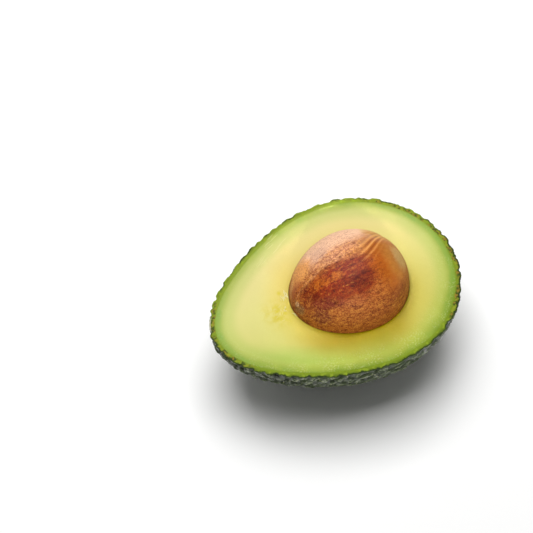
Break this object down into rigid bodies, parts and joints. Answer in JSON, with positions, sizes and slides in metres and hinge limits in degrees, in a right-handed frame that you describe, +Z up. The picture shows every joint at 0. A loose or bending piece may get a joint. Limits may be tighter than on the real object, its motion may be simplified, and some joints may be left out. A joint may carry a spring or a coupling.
{
  "type": "avocado half",
  "caption": "Ripe avocado half lying on its back, cut face up: dark pebbled skin, green to yellow flesh and the round brown seed in its hollow.",
  "frame": {"origin": "middle of the footprint's box, on the surface that the half lies on", "axes": "+Z up out of the level cut face; +X along the fruit's length towards the broad end, -X to the stem end; +Y across"},
  "size_m": [0.1016, 0.0766, 0.0564],
  "materials": {
    "skin": "satin, pebbled",
    "flesh": "moist, buttery, green at the rim and yellow by the seed",
    "seed": "satin, streaked and speckled"
  },
  "bodies": {
    "root": {"skin": "skin", "flesh": "flesh", "seed": "seed"}
  },
  "joints": []
}
